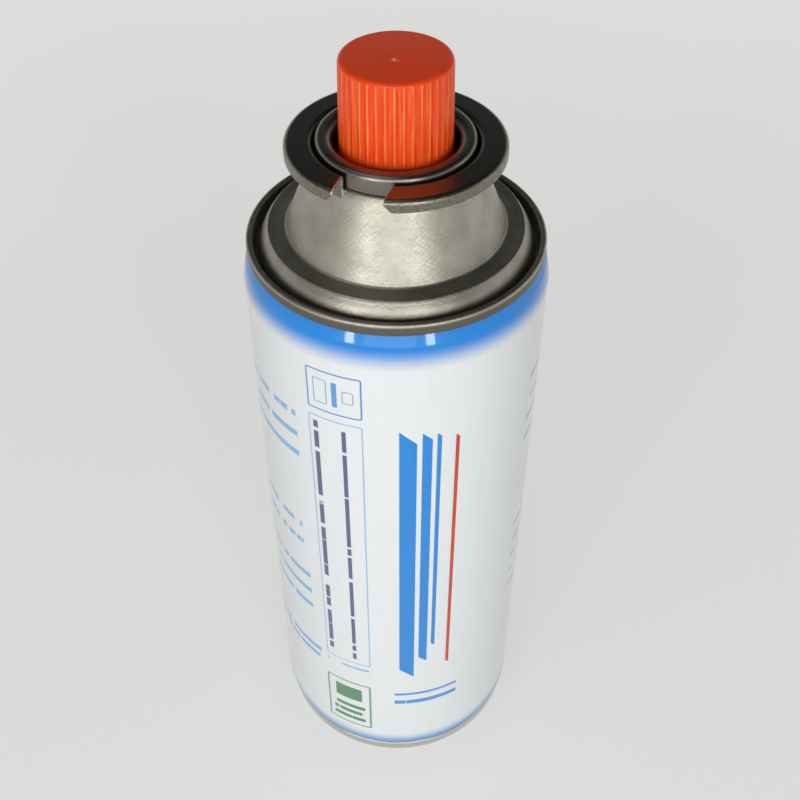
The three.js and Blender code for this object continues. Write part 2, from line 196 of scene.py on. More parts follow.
def gridMesh(name, rows, loop=True, flatEnds=None):
    # faces over a grid of points that closes round its columns; with loop its last row joins the first,
    # and otherwise a first or last row on the axis becomes a pole, and flatEnds gives other end faces
    count, around = rows.shape[:2]
    poles = [not loop and np.ptp(rows[k], axis=0).max() < 1e-9 for k in (0, -1)]
    grid = rows[int(poles[0]):count - int(poles[1])]
    index = np.arange(grid.shape[0] * around).reshape(-1, around)
    lower, upper = (index, np.roll(index, -1, 0)) if loop else (index[:-1], index[1:])
    quads = np.stack([lower, np.roll(lower, -1, 1), np.roll(upper, -1, 1), upper], -1).reshape(-1, 4)
    faces = quads.tolist()
    points = [grid.reshape(-1, 3)]
    if poles[0]:
        points.append(rows[0, :1])
        faces += np.stack([np.full(around, index.size), np.roll(index[0], -1), index[0]], 1).tolist()
    if poles[1]:
        points.append(rows[-1, :1])
        faces += np.stack([np.full(around, index.size + int(poles[0])), index[-1],
                           np.roll(index[-1], -1)], 1).tolist()
    smooth = [True] * len(faces)
    if flatEnds is not None:
        faces += flatEnds.tolist()
        smooth += [False] * len(flatEnds)
    mesh = bpy.data.meshes.new(name)
    mesh.from_pydata((np.concatenate(points) * mm).tolist(), [], faces)
    mesh.polygons.foreach_set("use_smooth", smooth)
    mesh.update()
    return mesh


def addPiece(mesh, material, body, slot, *nodes):
    piece = bpy.data.objects.new(mesh.name, mesh)
    bpy.context.scene.collection.objects.link(piece)
    mesh.materials.append(material)
    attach(piece, body)
    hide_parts(*nodes)
    return piece


# Materials

# ink on the wall: kind, colour, arc from and to, height from and to, line width or row pitch
printedShapes = [
    ("frame", "#3F8ACB", -8.5, 4.0, 134.4, 145.8, 0.36),
    ("frame", "#5C9BD2", -6.9, -3.7, 136.6, 143.4, 0.22),
    ("field", "#5C9BD2", -2.6, -1.4, 136.6, 143.4, 0),
    ("frame", "#5C9BD2", -0.3, 2.2, 138.3, 141.7, 0.22),
    ("frame", "#8DB9DD", -8.65, 3.95, 42.8, 132.4, 0.3),
    ("column", "#5E5D86", -7.5, -6.3, 46.5, 130.7, 3.4),
    ("column", "#5E5D86", -0.8, 0.2, 45.0, 130.0, 2.7),
    ("rows", "#8FBEE3", -8.6, 3.6, 39.7, 41.4, 1.7),
    ("slant", "#1C86D8", 11.5, 15.3, 41.0, 130.0, 0),
    ("slant", "#1C86D8", 16.4, 18.6, 47.0, 130.0, 0),
    ("slant", "#1C86D8", 19.6, 20.6, 53.0, 130.0, 0),
    ("slant", "#C8391A", 23.8, 24.7, 43.0, 128.5, 0),
    ("frame", "#6E9C77", -9.2, 3.8, 11.4, 33.0, 0.55),
    ("field", "#4E8A60", -6.6, 1.2, 24.2, 30.2, 0),
    ("rows", "#4E8A60", -7.4, 2.0, 13.2, 22.2, 3.0),
    ("field", "#4A93D8", 10.2, 27.6, 30.2, 31.2, 0),
    ("rows", "#4A93D8", 10.2, 27.6, 24.8, 28.8, 4.0),
    ("rows", "#7DB3E2", -46.0, -12.4, 113.8, 132.4, 6.2),
    ("rows", "#7DB3E2", -46.0, -13.6, 82.0, 94.6, 6.4),
    ("rows", "#7DB3E2", -46.0, -12.4, 57.0, 75.6, 6.2),
    ("rows", "#7DB3E2", -46.0, -10.6, 36.8, 43.4, 3.3),
    ("rows", "#9AB9D4", 47.0, 82.0, 108.0, 134.0, 6.5),
    ("rows", "#9AB9D4", 47.0, 82.0, 52.0, 84.0, 6.4),
    ("slant", "#1C86D8", -72.0, -68.2, 41.0, 130.0, 0),
    ("slant", "#1C86D8", -67.1, -64.9, 47.0, 130.0, 0),
    ("slant", "#1C86D8", -63.9, -62.9, 53.0, 130.0, 0),
    ("slant", "#C8391A", -59.7, -58.8, 43.0, 128.5, 0),
]


def inkMask(tree, flat, shape):
    # cover of one printed shape, 0 to 1, from the distance to a round cornered box;
    # rows and columns are that box cut into bars by a pitch, and into lengths by a noise
    kind, fromArc, toArc, low, high, size = shape[0], *shape[2:]
    middle, half = ((fromArc + toArc) / 2, 0, (low + high) / 2), ((toArc - fromArc) / 2, 0, (high - low) / 2)
    corner = {"frame": size + 0.3, "field": 0.35}.get(kind, 0.15)
    lean = flat
    if kind == "slant":  # ends cut on a slope of 1 in 1
        lean = addNode(tree, "ShaderNodeVectorMath", {"operation": "MULTIPLY_ADD", 1: (0, 0, 1)}, {0: flat})
        parts = addNode(tree, "ShaderNodeSeparateXYZ", {}, {0: flat})
        shear = addNode(tree, "ShaderNodeCombineXYZ", {}, {"X": parts.outputs["X"], "Z": parts.outputs["X"]})
        tree.links.new(shear.outputs[0], lean.inputs[2])
        lean = lean.outputs["Vector"]
        middle = (middle[0], 0, middle[2] + middle[0])
    moved = addNode(tree, "ShaderNodeVectorMath", {"operation": "SUBTRACT", 1: middle}, {0: lean})
    level = addNode(tree, "ShaderNodeVectorMath", {"operation": "MULTIPLY", 1: (1, 0, 1)},
                    {0: moved.outputs["Vector"]})
    folded = addNode(tree, "ShaderNodeVectorMath", {"operation": "ABSOLUTE"}, {0: level.outputs["Vector"]})
    beyond = addNode(tree, "ShaderNodeVectorMath",
                     {"operation": "SUBTRACT", 1: (half[0] - corner, 0, half[2] - corner)},
                     {0: folded.outputs["Vector"]})
    kept = addNode(tree, "ShaderNodeVectorMath", {"operation": "MAXIMUM", 1: (0, 0, 0)},
                   {0: beyond.outputs["Vector"]})
    away = addNode(tree, "ShaderNodeVectorMath", {"operation": "LENGTH"}, {0: kept.outputs["Vector"]})
    cover = ramp(tree, away.outputs["Value"], corner + 0.05, corner - 0.05)
    mask = cover.outputs[0]
    if kind == "frame":
        hole = ramp(tree, away.outputs["Value"], corner - size - 0.05, corner - size + 0.05)
        mask = addNode(tree, "ShaderNodeMath", {"operation": "MULTIPLY"}, {0: mask, 1: hole.outputs[0]}).outputs[0]
    if kind in ("rows", "column"):
        parts = addNode(tree, "ShaderNodeSeparateXYZ", {}, {0: moved.outputs["Vector"]})
        across, along = parts.outputs["Z"], parts.outputs["X"]
        if kind == "column":
            across, along = along, across
        row = addNode(tree, "ShaderNodeMath", {"operation": "MULTIPLY_ADD", 1: 1 / size,
                                               2: half[2] / size if kind == "rows" else 0.5}, {0: across})
        number = addNode(tree, "ShaderNodeMath", {"operation": "FLOOR"}, {0: row.outputs[0]})
        within = addNode(tree, "ShaderNodeMath", {"operation": "PINGPONG", 1: 0.5}, {0: row.outputs[0]})
        barHalf = min(0.26, 0.85 / size) if kind == "rows" else 0.45
        bar = ramp(tree, within.outputs[0], 0.5 - barHalf - 0.03, 0.5 - barHalf + 0.03)
        seed = addNode(tree, "ShaderNodeCombineXYZ", {"Z": middle[2]}, {"X": along, "Y": number.outputs[0]})
        cut = addNode(tree, "ShaderNodeMapping", {"vector_type": "TEXTURE", "Scale": (3.2, 0.17, 1.0)},
                      {"Vector": seed.outputs[0]})
        words = addNode(tree, "ShaderNodeTexNoise", {"Scale": 1.0, "Detail": 1.0}, {"Vector": cut.outputs[0]})
        gap = ramp(tree, words.outputs["Fac"], 0.385, 0.405)
        bars = addNode(tree, "ShaderNodeMath", {"operation": "MULTIPLY"}, {0: bar.outputs[0], 1: gap.outputs[0]})
        mask = addNode(tree, "ShaderNodeMath", {"operation": "MULTIPLY"}, {0: mask, 1: bars.outputs[0]}).outputs[0]
    return mask


# heights and lengths in mm; a band of blue is full at one height and ends at another, and middle
# lies between the two bands. Dots grow to dotGrowth of a cell with an edge of dotEdge, and soft is
# the share of plain tone laid over them
# the darker line colour and the heights that it runs between are painted shade, on the fillet where the wall turns in
# to the base seam
lacquerLook = {"white": "#E4E8E9", "blue": "#0883DA", "line": "#1F62AE", "weld": "#B4B2AA",
               "baseBlue": "#2F94D8", "topFull": 153.6, "topEnd": 148.4, "baseFull": 5.3, "baseEnd": 9.8,
               "lineFrom": 4.7, "lineFull": 3.9,
               "middle": 60.0, "radius": 32.5, "screen": 0.42, "dotGrowth": 0.95, "dotEdge": 0.22, "soft": 0.65,
               "weldHalf": 1.6, "peel": 1.4, "streak": (0.955, 1.03), "rough": (0.29, 0.38)}


def lacqueredTinplate():
    # offset printed tinplate: white base coat, inks and a clear stoving lacquer, which give a hard
    # gloss over a faint orange peel, with the drawing lines of the sheet just showing through
    look = lacquerLook
    material, tree, shader, place = newMaterial("lacqueredTinplate")
    flat, arc, _, up = unroll(tree, place, look["radius"])
    top = ramp(tree, up, look["topEnd"], look["topFull"])
    base = ramp(tree, up, look["baseEnd"], look["baseFull"])
    tone = addNode(tree, "ShaderNodeMath", {"operation": "MAXIMUM"}, {0: top.outputs[0], 1: base.outputs[0]})
    # halftone screen at 45 degrees: dots grow with the tone until they close up
    screen = addNode(tree, "ShaderNodeMapping",
                     {"vector_type": "TEXTURE", "Rotation": (0, math.radians(45), 0), "Scale": (look["screen"],) * 3},
                     {"Vector": flat})
    cells = addNode(tree, "ShaderNodeVectorMath", {"operation": "FRACTION"}, {0: screen.outputs[0]})
    centred = addNode(tree, "ShaderNodeVectorMath", {"operation": "SUBTRACT", 1: (0.5, 0.5, 0.5)},
                      {0: cells.outputs["Vector"]})
    level = addNode(tree, "ShaderNodeVectorMath", {"operation": "MULTIPLY", 1: (1, 0, 1)},
                    {0: centred.outputs["Vector"]})
    dot = addNode(tree, "ShaderNodeVectorMath", {"operation": "LENGTH"}, {0: level.outputs["Vector"]})
    grown = addNode(tree, "ShaderNodeMath", {"operation": "MULTIPLY", 1: look["dotGrowth"]}, {0: tone.outputs[0]})
    edge = addNode(tree, "ShaderNodeMath", {"operation": "SUBTRACT"}, {0: grown.outputs[0], 1: dot.outputs["Value"]})
    dots = ramp(tree, edge.outputs[0], 0.0, look["dotEdge"])
    softened = addNode(tree, "ShaderNodeMix", {"data_type": "FLOAT", "Factor": look["soft"]},
                       {"A": dots.outputs[0], "B": tone.outputs[0]})
    atBase = addNode(tree, "ShaderNodeMath", {"operation": "LESS_THAN", 1: look["middle"]}, {0: up})
    band = addNode(tree, "ShaderNodeMix",
                   {"data_type": "RGBA", "A": linear(look["blue"]), "B": linear(look["baseBlue"])},
                   {"Factor": atBase.outputs[0]})
    paint = addNode(tree, "ShaderNodeMix", {"data_type": "RGBA", "A": linear(look["white"])},
                    {"Factor": softened.outputs["Result"], "B": band.outputs["Result"]})
    for shape in printedShapes:
        paint = addNode(tree, "ShaderNodeMix", {"data_type": "RGBA", "B": linear(shape[1])},
                        {"Factor": inkMask(tree, flat, shape), "A": paint.outputs["Result"]})
    # painted shade: a darker line on the fillet where the base band ends at the seam and the wall turns in
    foot = ramp(tree, up, look["lineFrom"], look["lineFull"])
    paint = addNode(tree, "ShaderNodeMix", {"data_type": "RGBA", "B": linear(look["line"])},
                    {"Factor": foot.outputs[0], "A": paint.outputs["Result"]})
    # welded side seam behind: a stripe left without print
    behind = addNode(tree, "ShaderNodeMath", {"operation": "ABSOLUTE"}, {0: arc})
    seamArc = look["radius"] * math.pi - look["weldHalf"]
    weld = ramp(tree, behind.outputs[0], seamArc - 0.15, seamArc)
    paint = addNode(tree, "ShaderNodeMix", {"data_type": "RGBA", "B": linear(look["weld"])},
                    {"Factor": weld.outputs[0], "A": paint.outputs["Result"]})
    # drawing lines of the sheet: faint streaks up the wall, some 0.7 mm apart, which break up the white
    long = addNode(tree, "ShaderNodeMapping", {"vector_type": "TEXTURE", "Scale": (0.7, 4.0, 45.0)}, {"Vector": flat})
    streak = addNode(tree, "ShaderNodeTexNoise", {"Scale": 1.0, "Detail": 3.0}, {"Vector": long.outputs[0]})
    shade = addNode(tree, "ShaderNodeMapRange", {"To Min": look["streak"][0], "To Max": look["streak"][1]},
                    {"Value": streak.outputs["Fac"]})
    colour = addNode(tree, "ShaderNodeHueSaturation", {},
                     {"Color": paint.outputs["Result"], "Value": shade.outputs[0]})
    cloud = addNode(tree, "ShaderNodeTexNoise", {"Scale": 0.07, "Detail": 4.0}, {"Vector": place})
    gloss = addNode(tree, "ShaderNodeMapRange", {"From Min": 0.3, "From Max": 0.7, "To Min": look["rough"][0],
                                                 "To Max": look["rough"][1]}, {"Value": cloud.outputs["Fac"]})
    peel = addNode(tree, "ShaderNodeTexNoise", {"Scale": 1 / look["peel"], "Detail": 2.0}, {"Vector": place})
    relief = addNode(tree, "ShaderNodeMath", {"operation": "MULTIPLY_ADD", 1: 0.4},
                     {0: streak.outputs["Fac"], 2: peel.outputs["Fac"]})
    bump = addNode(tree, "ShaderNodeBump", {"Strength": 0.06, "Distance": 0.00005}, {"Height": relief.outputs[0]})
    tree.links.new(colour.outputs[0], shader.inputs["Base Color"])
    tree.links.new(gloss.outputs[0], shader.inputs["Roughness"])
    tree.links.new(bump.outputs[0], shader.inputs["Normal"])
    shader.inputs["Specular IOR Level"].default_value = 0.15
    shader.inputs["Coat Weight"].default_value = 0.8
    shader.inputs["Coat Roughness"].default_value = 0.06
    return material


# a darker, browner tone lies on the seam's outer wall: from this radius out, and below this height
seamWallTone = {"away": 30.6, "up": 158.95}


def drawnTinplate(name, bright, dull, seam, rough, hatch, depth):
    # pressed and drawn tinplate: satin metal with fine crossed scratches from the dies, some 0.4 mm
    # apart, rings round the axis from the seaming rolls, a cloudy bloom of the tin, and on the seam's
    # outer wall a darker, browner tone
    material, tree, shader, place = newMaterial(name)
    flat, _, away, up = unroll(tree, place, 22.0)
    marks = []
    for turn, size in ((34, (7.0, 0.9, 0.42)), (-38, (6.0, 0.9, 0.42)), (0, (30.0, 0.6, 0.5))):
        lean = addNode(tree, "ShaderNodeMapping", {"vector_type": "TEXTURE", "Rotation": (0, math.radians(turn), 0),
                                                   "Scale": size}, {"Vector": flat})
        marks.append(addNode(tree, "ShaderNodeTexNoise", {"Scale": 1.0, "Detail": 2.0, "Roughness": 0.6},
                             {"Vector": lean.outputs[0]}).outputs["Fac"])
    crossed = addNode(tree, "ShaderNodeMath", {"operation": "ADD"}, {0: marks[0], 1: marks[1]})
    slanted = addNode(tree, "ShaderNodeMath", {"operation": "MULTIPLY", 1: hatch}, {0: crossed.outputs[0]})
    brushed = addNode(tree, "ShaderNodeMath", {"operation": "MULTIPLY_ADD", 1: 1.0 - hatch},
                      {0: marks[2], 2: slanted.outputs[0]})
    bloom = addNode(tree, "ShaderNodeTexNoise", {"Scale": 0.2, "Detail": 5.0}, {"Vector": place})
    tint = ramp(tree, bloom.outputs["Fac"], 0.35, 0.68)
    colour = addNode(tree, "ShaderNodeMix", {"data_type": "RGBA", "A": linear(bright), "B": linear(dull)},
                     {"Factor": tint.outputs[0]})
    edge = seamWallTone
    outmost = ramp(tree, away, edge["away"], edge["away"] + 0.4)
    below = ramp(tree, up, edge["up"], edge["up"] - 0.4)
    rolled = addNode(tree, "ShaderNodeMath", {"operation": "MULTIPLY"}, {0: outmost.outputs[0], 1: below.outputs[0]})
    colour = addNode(tree, "ShaderNodeMix", {"data_type": "RGBA", "B": linear(seam)},
                     {"Factor": rolled.outputs[0], "A": colour.outputs["Result"]})
    sheen = addNode(tree, "ShaderNodeMapRange", {"From Min": 0.35, "From Max": 1.0, "To Min": rough - 0.05,
                                                 "To Max": rough + 0.09}, {"Value": brushed.outputs[0]})
    bump = addNode(tree, "ShaderNodeBump", {"Strength": depth, "Distance": 0.0001}, {"Height": brushed.outputs[0]})
    tree.links.new(colour.outputs["Result"], shader.inputs["Base Color"])
    tree.links.new(sheen.outputs[0], shader.inputs["Roughness"])
    tree.links.new(bump.outputs[0], shader.inputs["Normal"])
    shader.inputs["Metallic"].default_value = 1.0
    return material


collarShape = {"inner": 16.4, "outer": 22.1, "rimFoot": 178.55, "sheet": 0.7, "bend": 1.05,
               "half": 5.0, "flare": 1.3, "columns": 300, "rimFrom": 20.9, "ends": (0.0, 0.07, 0.18),
               "body": 0.32, "thin": (0.6, 0.88)}


def scuffedSteel():
    # pressed steel of the collar: dark satin where the tool ironed it, rubbed lighter and flecked
    # round the rim, where cans knock together
    # cut is the pale colour of the painted highlight on the cut edges of the notch
    look = {"flat": "#7A7B74", "dull": "#716D60", "rubbed": "#918C7E", "cut": "#D6D3C8", "rim": 21.5,
            "rough": 0.285}
    material, tree, shader, place = newMaterial("scuffedSteel")
    flat, _, away, _ = unroll(tree, place, 22.0)
    drawn = addNode(tree, "ShaderNodeMapping", {"vector_type": "TEXTURE", "Scale": (0.9, 0.26, 0.26)},
                    {"Vector": flat})
    flecks = addNode(tree, "ShaderNodeTexNoise", {"Scale": 1.0, "Detail": 4.0, "Roughness": 0.62},
                     {"Vector": drawn.outputs[0]})
    lean = addNode(tree, "ShaderNodeMapping", {"vector_type": "TEXTURE", "Scale": (6.0, 0.4, 0.4)},
                   {"Vector": flat})
    drag = addNode(tree, "ShaderNodeTexNoise", {"Scale": 1.0, "Detail": 4.0}, {"Vector": lean.outputs[0]})
    rim = ramp(tree, away, look["rim"] - 0.5, look["rim"] + 0.3)
    worn = ramp(tree, flecks.outputs["Fac"], 0.42, 0.62)
    rubbed = addNode(tree, "ShaderNodeMix", {"data_type": "RGBA", "A": linear(look["dull"]),
                                             "B": linear(look["rubbed"])}, {"Factor": worn.outputs[0]})
    colour = addNode(tree, "ShaderNodeMix", {"data_type": "RGBA", "A": linear(look["flat"])},
                     {"Factor": rim.outputs[0], "B": rubbed.outputs["Result"]})
    # bare metal where the sheet was cut, on the two sides of the notch, painted pale as a highlight
    parts = addNode(tree, "ShaderNodeSeparateXYZ", {}, {0: place})
    aside = addNode(tree, "ShaderNodeMath", {"operation": "ABSOLUTE"}, {0: parts.outputs["X"]})
    drop = addNode(tree, "ShaderNodeMapRange",
                   {"From Min": height("collar") - collarShape["bend"], "From Max": collarShape["rimFoot"],
                    "To Max": collarShape["flare"]}, {"Value": parts.outputs["Z"]})
    flared = addNode(tree, "ShaderNodeMath", {"operation": "MULTIPLY"}, {0: drop.outputs[0], 1: rim.outputs[0]})
    fromCut = addNode(tree, "ShaderNodeMath", {"operation": "SUBTRACT"}, {0: aside.outputs[0], 1: flared.outputs[0]})
    cut = ramp(tree, fromCut.outputs[0], collarShape["half"] + 0.17, collarShape["half"] + 0.09)
    notched = addNode(tree, "ShaderNodeMath", {"operation": "LESS_THAN", 1: 0.0}, {0: parts.outputs["Y"]})
    cutEdgeHighlight = addNode(tree, "ShaderNodeMath", {"operation": "MULTIPLY"}, {0: cut.outputs[0], 1: notched.outputs[0]})
    colour = addNode(tree, "ShaderNodeMix", {"data_type": "RGBA", "B": linear(look["cut"])},
                     {"Factor": cutEdgeHighlight.outputs[0], "A": colour.outputs["Result"]})
    grain = addNode(tree, "ShaderNodeMath", {"operation": "MULTIPLY"}, {0: flecks.outputs["Fac"], 1: rim.outputs[0]})
    relief = addNode(tree, "ShaderNodeMath", {"operation": "MULTIPLY_ADD", 1: 0.2},
                     {0: drag.outputs["Fac"], 2: grain.outputs[0]})
    sheen = addNode(tree, "ShaderNodeMath", {"operation": "MULTIPLY_ADD", 1: 0.14, 2: look["rough"]},
                    {0: grain.outputs[0]})
    bump = addNode(tree, "ShaderNodeBump", {"Strength": 0.22, "Distance": 0.00005}, {"Height": relief.outputs[0]})
    tree.links.new(colour.outputs["Result"], shader.inputs["Base Color"])
    tree.links.new(sheen.outputs[0], shader.inputs["Roughness"])
    tree.links.new(bump.outputs[0], shader.inputs["Normal"])
    shader.inputs["Metallic"].default_value = 1.0
    return material


capShape = {"flutes": 40, "depth": 0.3, "ridge": 0.18, "start": 7.3, "fade": 1.5, "base": 11.4, "top": 10.95,
            "wall": 1.15, "roof": 1.4, "edge": 0.95, "perFlute": 14, "gate": (0.18, -1.35),
            "stub": (0.22, 0.36), "dimple": (0.24, 0.95)}


def mouldedPolyethylene():
    # injection moulded polyethylene: waxy semi-gloss that carries light a little way in, with a painted
    # highlight that makes the thin ridges paler and lays faint paler streaks along the flutes, the torn
    # gate on top and a few scratches from handling
    # ridge is the paler colour of the painted highlight on the ridges and in the streaks between them
    look = {"body": "#EC4408", "ridge": "#FC8E48", "gate": "#F2A27C", "rough": 0.33, "scratch": 0.12,
            "drag": (0.3, 1.0, 14.0)}
    material, tree, shader, place = newMaterial("mouldedPolyethylene")
    flat, arc, _, up = unroll(tree, place, capShape["flutes"] / (2 * math.pi))
    # distance from the nearest ridge in pitches, 0 on it and 0.5 in the middle of a hollow
    phase = addNode(tree, "ShaderNodeMath", {"operation": "PINGPONG", 1: 0.5}, {0: arc})
    crest = ramp(tree, phase.outputs[0], 0.15, 0.04)
    start = height("cap", False) + capShape["start"]
    low = ramp(tree, up, start - 0.2, start + 1.0)
    high = ramp(tree, up, height("cap") - 0.55, height("cap") - 1.1)
    band = addNode(tree, "ShaderNodeMath", {"operation": "MULTIPLY"}, {0: low.outputs[0], 1: high.outputs[0]})
    # painted highlight: streaks along the flutes from a noise, which make the paler ridges uneven and lay faint paler
    # lines between them
    drawn = addNode(tree, "ShaderNodeMapping", {"vector_type": "TEXTURE", "Scale": look["drag"]}, {"Vector": flat})
    drag = addNode(tree, "ShaderNodeTexNoise", {"Scale": 1.0, "Detail": 3.0}, {"Vector": drawn.outputs[0]})
    uneven = addNode(tree, "ShaderNodeMapRange", {"From Min": 0.36, "From Max": 0.62, "To Min": 0.3},
                     {"Value": drag.outputs["Fac"]})
    faintHighlight = addNode(tree, "ShaderNodeMapRange", {"From Min": 0.48, "From Max": 0.68, "To Max": 0.4},
                    {"Value": drag.outputs["Fac"]})
    onRidge = addNode(tree, "ShaderNodeMath", {"operation": "MULTIPLY"}, {0: crest.outputs[0], 1: uneven.outputs[0]})
    lines = addNode(tree, "ShaderNodeMath", {"operation": "MAXIMUM"}, {0: onRidge.outputs[0], 1: faintHighlight.outputs[0]})
    ridge = addNode(tree, "ShaderNodeMath", {"operation": "MULTIPLY"}, {0: lines.outputs[0], 1: band.outputs[0]})
    swirl = addNode(tree, "ShaderNodeTexNoise", {"Scale": 0.3, "Detail": 3.0}, {"Vector": place})
    shade = addNode(tree, "ShaderNodeMapRange", {"To Min": 0.92, "To Max": 1.06}, {"Value": swirl.outputs["Fac"]})
    body = addNode(tree, "ShaderNodeHueSaturation", {"Color": linear(look["body"])}, {"Value": shade.outputs[0]})
    colour = addNode(tree, "ShaderNodeMix", {"data_type": "RGBA", "B": linear(look["ridge"])},
                     {"Factor": ridge.outputs[0], "A": body.outputs[0]})
    # torn plastic of the gate, paler, on top of the cap
    fromGate = addNode(tree, "ShaderNodeVectorMath",
                       {"operation": "DISTANCE", 1: (*capShape["gate"], height("cap") - 0.1)}, {0: place})
    torn = addNode(tree, "ShaderNodeTexNoise", {"Scale": 2.6, "Detail": 3.0}, {"Vector": place})
    ragged = addNode(tree, "ShaderNodeMath", {"operation": "MULTIPLY_ADD", 1: -1.1},
                     {0: torn.outputs["Fac"], 2: fromGate.outputs["Value"]})
    stub = ramp(tree, ragged.outputs[0], 0.05, -0.1)
    colour = addNode(tree, "ShaderNodeMix", {"data_type": "RGBA", "B": linear(look["gate"])},
                     {"Factor": stub.outputs[0], "A": colour.outputs["Result"]})
    grain = addNode(tree, "ShaderNodeTexNoise", {"Scale": 3.5, "Detail": 3.0}, {"Vector": place})
    lean = addNode(tree, "ShaderNodeMapping", {"vector_type": "TEXTURE", "Rotation": (0, math.radians(12), 0),
                                               "Scale": (1.4, 1.0, look["scratch"])}, {"Vector": flat})
    scratch = addNode(tree, "ShaderNodeTexNoise", {"Scale": 0.9, "Detail": 1.0}, {"Vector": lean.outputs[0]})
    nick = ramp(tree, scratch.outputs["Fac"], 0.7, 0.76)
    worn = addNode(tree, "ShaderNodeMath", {"operation": "MULTIPLY_ADD", 1: 0.6},
                   {0: nick.outputs[0], 2: grain.outputs["Fac"]})
    rough = addNode(tree, "ShaderNodeMapRange", {"To Min": look["rough"] - 0.05, "To Max": look["rough"] + 0.08},
                    {"Value": worn.outputs[0]})
    bump = addNode(tree, "ShaderNodeBump", {"Strength": 0.12, "Distance": 0.00006}, {"Height": worn.outputs[0]})
    tree.links.new(colour.outputs["Result"], shader.inputs["Base Color"])
    tree.links.new(rough.outputs[0], shader.inputs["Roughness"])
    tree.links.new(bump.outputs[0], shader.inputs["Normal"])
    shader.inputs["Specular IOR Level"].default_value = 0.36
    shader.inputs["Subsurface Weight"].default_value = 0.1
    shader.inputs["Subsurface Radius"].default_value = (1.0, 0.25, 0.08)
    shader.inputs["Subsurface Scale"].default_value = 0.0012
    return material


def finegrained(name, hexColor, rough, metallic, grainSize, relief):
    # small working parts: one colour with a fine grain in its tone, gloss and relief
    material, tree, shader, place = newMaterial(name)
    grain = addNode(tree, "ShaderNodeTexNoise", {"Scale": 1 / grainSize, "Detail": 3.0}, {"Vector": place})
    tone = addNode(tree, "ShaderNodeMapRange", {"To Min": 0.88, "To Max": 1.08}, {"Value": grain.outputs["Fac"]})
    colour = addNode(tree, "ShaderNodeHueSaturation", {"Color": linear(hexColor)}, {"Value": tone.outputs[0]})
    sheen = addNode(tree, "ShaderNodeMapRange", {"To Min": rough - 0.06, "To Max": rough + 0.06},
                    {"Value": grain.outputs["Fac"]})
    bump = addNode(tree, "ShaderNodeBump", {"Strength": relief, "Distance": 0.00005},
                   {"Height": grain.outputs["Fac"]})
    tree.links.new(colour.outputs[0], shader.inputs["Base Color"])
    tree.links.new(sheen.outputs[0], shader.inputs["Roughness"])
    tree.links.new(bump.outputs[0], shader.inputs["Normal"])
    shader.inputs["Metallic"].default_value = metallic
    return material


lacquer = lacqueredTinplate()
domeTinplate = drawnTinplate("drawnTinplate", "#AAA79B", "#9A968A", "#6E6A5D", 0.4, 0.6, 0.65)
baseTinplate = drawnTinplate("seamedTinplate", "#CBC9C2", "#B4B1A8", "#CBC9C2", 0.34, 0.1, 0.3)
cupTinplate = drawnTinplate("cupTinplate", "#858279", "#74716A", "#858279", 0.34, 0.12, 0.16)
collarSteel = scuffedSteel()
polyethylene = mouldedPolyethylene()
acetal = finegrained("naturalAcetal", "#E2DFD6", 0.4, 0.0, 0.8, 0.15)  # moulded, waxy off-white
nitrile = finegrained("nitrileRubber", "#232425", 0.7, 0.0, 0.5, 0.3)  # punched sheet, dull black
springWire = finegrained("drawnSpringWire", "#B8BCC0", 0.25, 1.0, 0.4, 0.1)  # drawn steel, bright
print("materials made")


# Can: printed wall, domed end with its seam, and base with its seam, in place of one solid

wallShape = {"foot": 3.25, "radius": 32.47, "straightFrom": 5.8, "neckFrom": 150.6, "neck": 30.6,
             "neckTop": 156.85, "sheet": 0.28, "sides": 256}
topShape = {"seamTop": 159.5, "seamFoot": 156.75, "seamOut": 31.3, "seamIn": 29.9, "crown": 0.62,
            "floor": 155.9, "sheet": 0.3, "sides": 200}
baseShape = {"seamOut": 31.7, "seamIn": 30.3, "seamTop": 3.25, "crown": 0.6, "rise": 7.5, "sheet": 0.3,
             "sides": 160}


def printedWall():
    # profile: out from the base seam, straight up, and in under the top seam; inner face behind it
    w = wallShape
    outside = filleted([(30.9, w["foot"] - 0.05), (31.25, w["foot"], 0.25), (31.95, 4.3, 0.9),
                        (w["radius"], w["straightFrom"], 1.6), (w["radius"], w["neckFrom"], 7.0),
                        (31.75, 154.4, 3.2), (30.75, 156.5, 0.9), (w["neck"], w["neckTop"])], 12, 3.0)
    profile = np.concatenate([outside, sheetBehind(outside, w["sheet"])])
    mesh = gridMesh("can_wall", turnedRows(profile, w["sides"]))
    return addPiece(mesh, lacquer, vessel, "printed_tinplate", "can")


